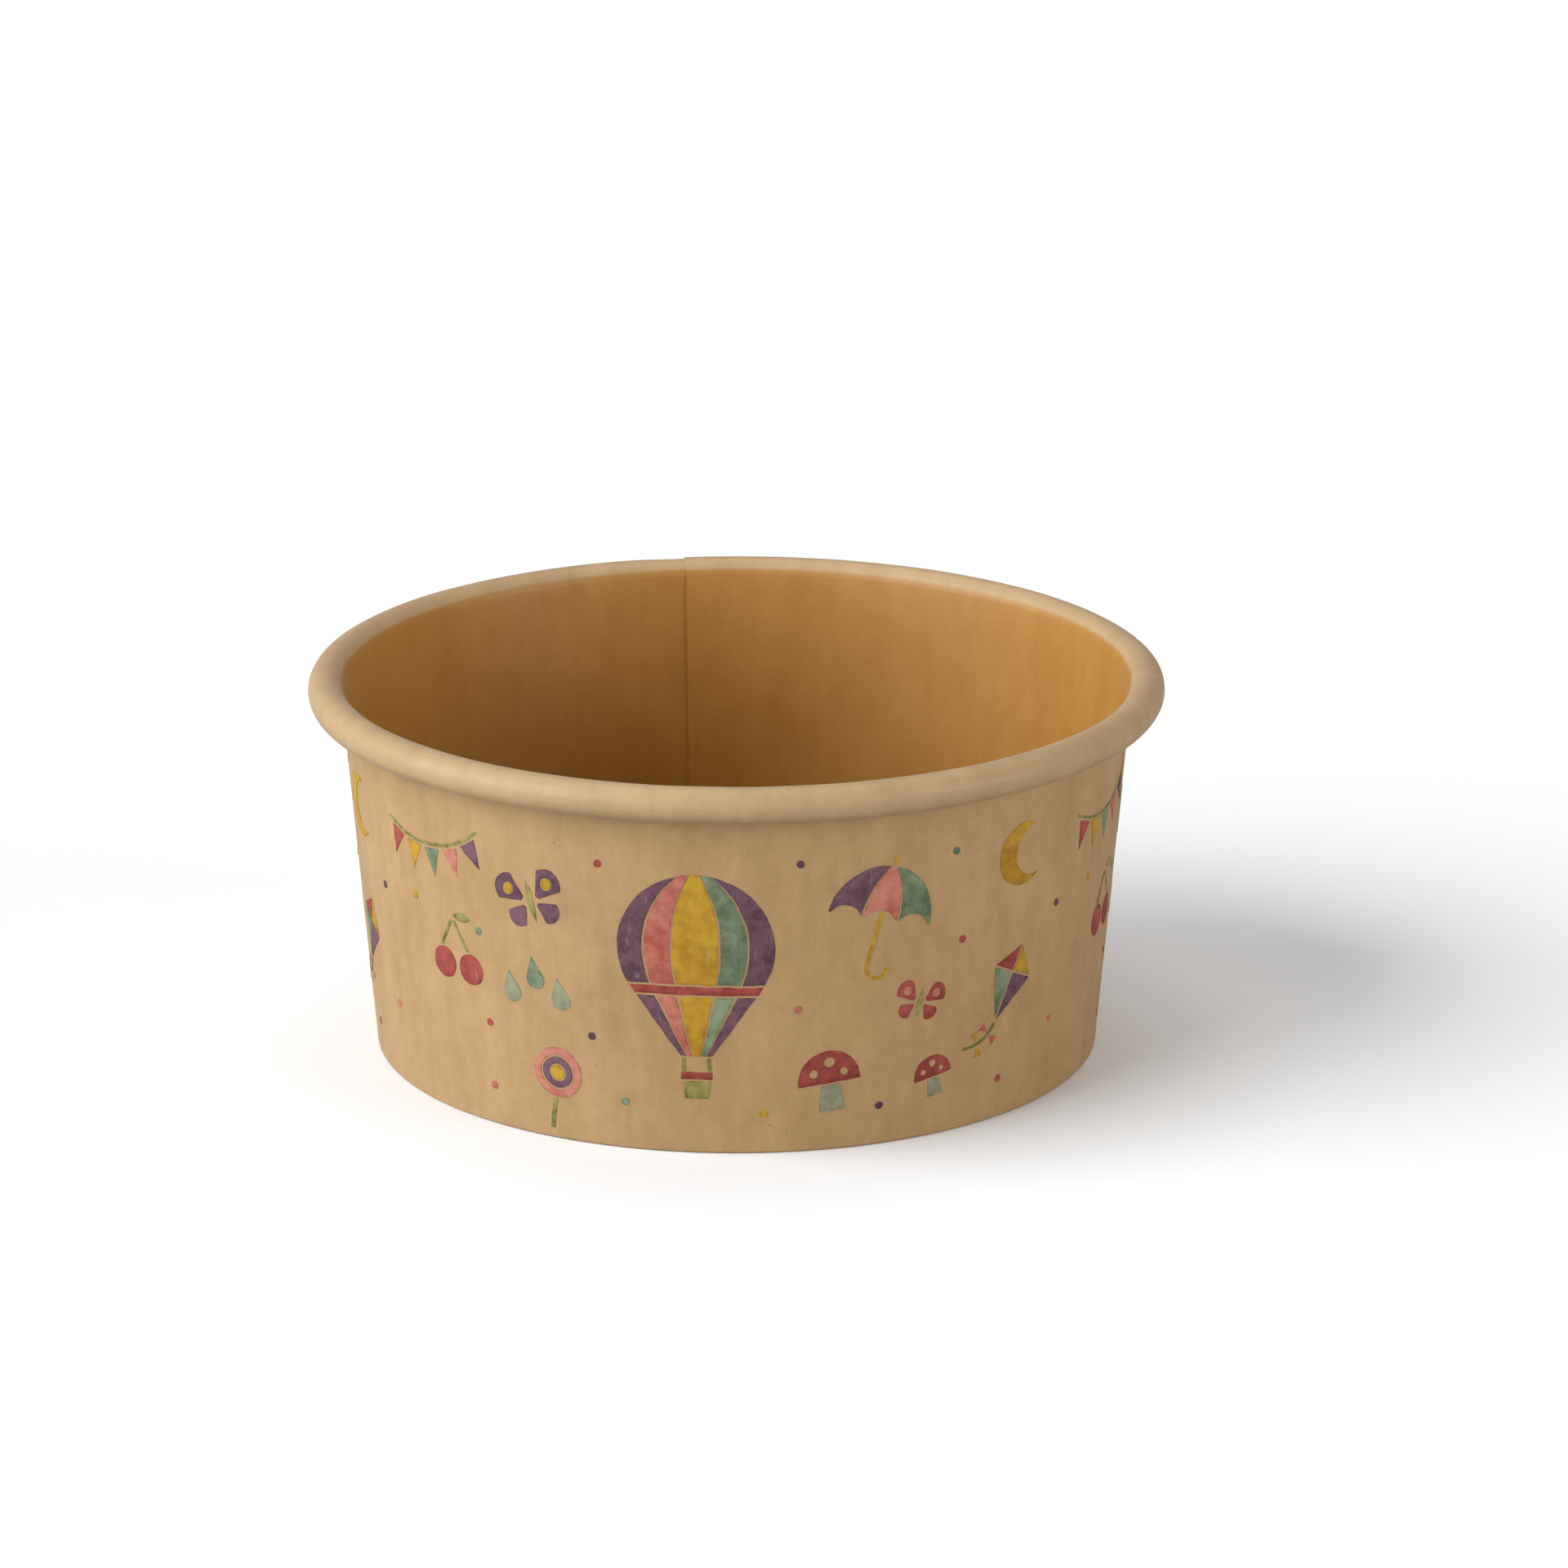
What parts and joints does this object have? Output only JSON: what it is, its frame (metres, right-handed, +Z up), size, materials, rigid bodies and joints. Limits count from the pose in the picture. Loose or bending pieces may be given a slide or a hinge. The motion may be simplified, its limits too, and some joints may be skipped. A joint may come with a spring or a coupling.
{
  "type": "paper dessert cup",
  "caption": "Squat kraft-board dessert cup with a rolled rim, a lapped side seam, a recessed disc held in a folded hem, and a muted watercolour print around the wall.",
  "frame": {"origin": "centre of the standing ring, on the surface that the cup stands on", "axes": "+Z up along the cup's axis, -Y towards the middle of the print, +Y towards the side seam"},
  "size_m": [0.118, 0.118, 0.053],
  "materials": {
    "kraft_board": "unbleached kraft board, matte outside and clear-coated inside",
    "coated_board": "unbleached kraft board with a clear coating on top",
    "ink_violet": "matte water-based ink on kraft board",
    "ink_crimson": "matte water-based ink on kraft board",
    "ink_rose": "matte water-based ink on kraft board",
    "ink_teal": "matte water-based ink on kraft board",
    "ink_sage": "matte water-based ink on kraft board",
    "ink_mustard": "matte water-based ink on kraft board",
    "ink_olive": "matte water-based ink on kraft board"
  },
  "bodies": {
    "root": {"side_wall": "kraft_board", "bottom_disc": "coated_board", "print_violet": "ink_violet", "print_crimson": "ink_crimson", "print_rose": "ink_rose", "print_teal": "ink_teal", "print_sage": "ink_sage", "print_mustard": "ink_mustard", "print_olive": "ink_olive"}
  },
  "joints": []
}
